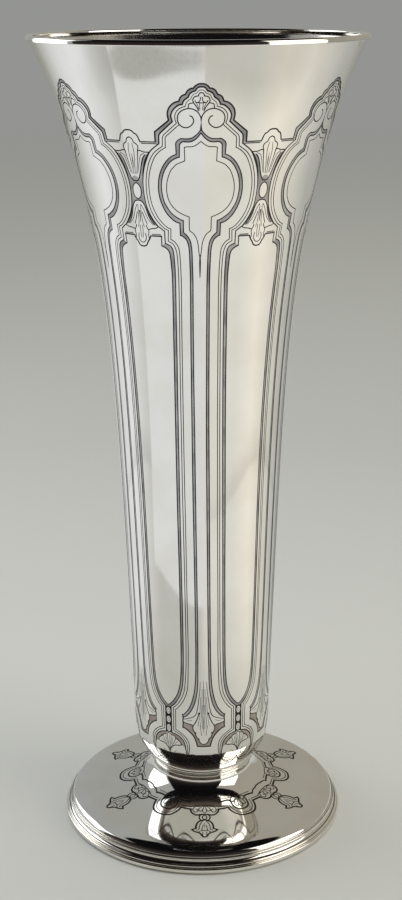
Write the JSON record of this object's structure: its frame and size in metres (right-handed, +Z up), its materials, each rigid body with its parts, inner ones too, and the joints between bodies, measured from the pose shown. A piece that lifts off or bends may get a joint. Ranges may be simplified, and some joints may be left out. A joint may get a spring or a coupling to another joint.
{
  "type": "trumpet vase",
  "caption": "Tall silver vase with an open flared trumpet, a rounded lip wire and a low domed round foot with a stepped edge; etched strapwork.",
  "frame": {"origin": "on the floor at the centre of the foot", "axes": "+Z up along the vase's axis; -Y faces the viewer of the picture"},
  "size_m": [0.1421, 0.142, 0.3556],
  "materials": {
    "etched_silver": "polished sterling silver with blackened etched lines",
    "polished_silver": "polished sterling silver",
    "plain_silver": "plain sterling silver sheet"
  },
  "bodies": {
    "root": {"trumpet_wall": "etched_silver", "foot_dome": "etched_silver", "lip_wire": "polished_silver", "collar_wire_upper": "polished_silver", "collar_wire_lower": "polished_silver", "foot_reeded_wire": "polished_silver", "foot_cove_moulding": "polished_silver", "foot_base_flange": "polished_silver", "bottom_disc": "plain_silver"}
  },
  "joints": []
}
